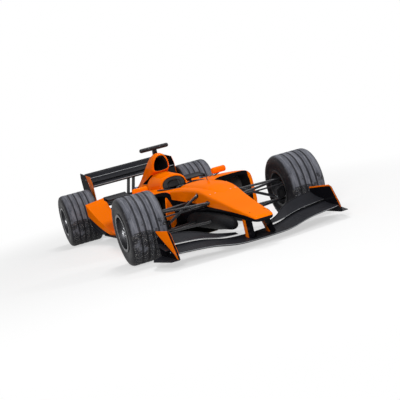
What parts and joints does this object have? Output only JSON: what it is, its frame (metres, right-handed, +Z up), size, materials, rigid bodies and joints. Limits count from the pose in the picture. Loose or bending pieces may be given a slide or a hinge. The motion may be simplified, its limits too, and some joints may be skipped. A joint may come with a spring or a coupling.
{
  "type": "open wheel racing car",
  "caption": "Single-seat open wheel racing car with front and rear wings, grooved tyres, bargeboards and sidepods; its wheels roll and its front wheels steer.",
  "frame": {"origin": "On the ground, at the middle of the car's overall length and width", "axes": "+X is the car's left, the nose points to -Y, +Z is up"},
  "size_m": [2, 4.75, 1],
  "materials": {
    "bare_metal": "heat-tinted steel",
    "body_orange": "gloss orange paint over carbon panels",
    "carbon_black": "satin lacquered carbon fibre",
    "engine_metal": "cast and machined alloy",
    "pad_black": "black padded foam cover",
    "plank_wood": "resin-bonded wood plank",
    "radiator_core": "finned alloy core",
    "rim_metal": "machined magnesium alloy rim, dark",
    "satin_black": "satin black",
    "tyre_rubber": "worn grooved racing tread",
    "upright_metal": "machined alloy"
  },
  "bodies": {
    "chassis": {"monocoque": "body_orange", "nose_cone": "body_orange", "nose_pylons": "carbon_black", "front_wing_plane": "carbon_black", "front_wing_flaps": "carbon_black", "front_wing_endplates": "carbon_black", "keels": "carbon_black", "floor": "carbon_black", "plank": "plank_wood", "sidepod_left": "body_orange", "sidepod_right": "body_orange", "radiators": "radiator_core", "engine_cover": "body_orange", "engine_block": "engine_metal", "gearbox_casing": "engine_metal", "rear_crash_structure": "satin_black", "diffuser": "carbon_black", "rear_wing_planes": "carbon_black", "rear_wing_beam": "carbon_black", "rear_wing_endplates": "carbon_black", "barge_boards": "body_orange", "mirrors": "body_orange", "camera_pod": "satin_black", "headrest": "pad_black", "seat": "pad_black", "steering_column": "upright_metal", "front_wishbones": "carbon_black", "rear_wishbones": "carbon_black", "rear_uprights": "upright_metal", "exhausts": "bare_metal", "winglets": "carbon_black", "wheel_fairings": "body_orange", "radio_antenna": "satin_black", "rack_housing": "upright_metal"},
    "front_upright_left": {"front_upright_left": "upright_metal"},
    "front_upright_right": {"front_upright_right": "upright_metal"},
    "front_wheel_left": {"rim_front_left": "rim_metal", "tyre_front_left": "tyre_rubber"},
    "front_wheel_right": {"rim_front_right": "rim_metal", "tyre_front_right": "tyre_rubber"},
    "rear_wheel_left": {"rim_rear_left": "rim_metal", "tyre_rear_left": "tyre_rubber"},
    "rear_wheel_right": {"rim_rear_right": "rim_metal", "tyre_rear_right": "tyre_rubber"},
    "steering_wheel": {"steering_wheel": "satin_black"},
    "steering_rack": {"track_rods": "carbon_black"}
  },
  "joints": [
    {"name": "steer_left", "type": "hinge", "parent": "chassis", "child": "front_upright_left", "pos_m": [0.7, -1.295, 0.325], "axis": [0, 0, 1], "range_deg": [-16, 16]},
    {"name": "steer_right", "type": "hinge", "parent": "chassis", "child": "front_upright_right", "pos_m": [-0.7, -1.295, 0.325], "axis": [0, 0, 1], "range_deg": [-16.5, 16.5]},
    {"name": "steering_wheel_turn", "type": "hinge", "parent": "chassis", "child": "steering_wheel", "pos_m": [0, -0.335, 0.468], "axis": [0, 0.9397, 0.342], "range_deg": [-130, 130]},
    {"name": "rack_slide", "type": "slide", "parent": "chassis", "child": "steering_rack", "axis": [1, 0, 0], "range_m": [-0.032, 0.032]},
    {"name": "front_left_roll", "type": "hinge", "parent": "front_upright_left", "child": "front_wheel_left", "pos_m": [0.815, -1.295, 0.325], "axis": [1, 0, 0], "continuous": true},
    {"name": "front_right_roll", "type": "hinge", "parent": "front_upright_right", "child": "front_wheel_right", "pos_m": [-0.815, -1.295, 0.325], "axis": [1, 0, 0], "continuous": true},
    {"name": "rear_left_roll", "type": "hinge", "parent": "chassis", "child": "rear_wheel_left", "pos_m": [0.785, 1.855, 0.325], "axis": [1, 0, 0], "continuous": true},
    {"name": "rear_right_roll", "type": "hinge", "parent": "chassis", "child": "rear_wheel_right", "pos_m": [-0.785, 1.855, 0.325], "axis": [1, 0, 0], "continuous": true}
  ],
  "couplings": [
    {"joint": "steer_right", "follows": "steer_left", "ratio": 1},
    {"joint": "steering_wheel_turn", "follows": "steer_left", "ratio": 8},
    {"joint": "rack_slide", "follows": "steer_left", "m_per_rad": 0.11}
  ]
}
